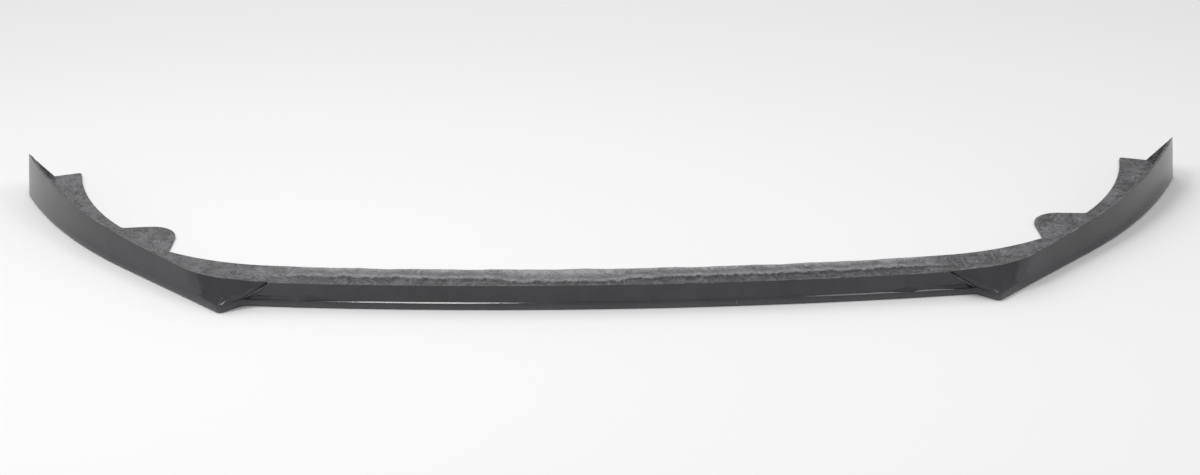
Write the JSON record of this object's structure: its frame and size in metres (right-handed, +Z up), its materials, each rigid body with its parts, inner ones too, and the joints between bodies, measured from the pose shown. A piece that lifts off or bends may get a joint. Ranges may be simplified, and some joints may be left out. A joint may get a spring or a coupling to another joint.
{
  "type": "front splitter lip",
  "caption": "Wide, low splitter lip for a car's front bumper: a thin laminated wall bowed round the nose, with stepped corners, pointed swept ends and a flat shelf behind it.",
  "frame": {"origin": "on the floor, in the middle of the lip's bounding box", "axes": "+X towards the car's left, -Y forward, +Z up; the lip is the same on both sides of x = 0"},
  "size_m": [1.7672, 0.5064, 0.0688],
  "materials": {
    "black_laminate": "smooth black gelcoat outside, rough black glass-fibre laminate inside"
  },
  "bodies": {
    "root": {"splitter_lip": "black_laminate"}
  },
  "joints": []
}
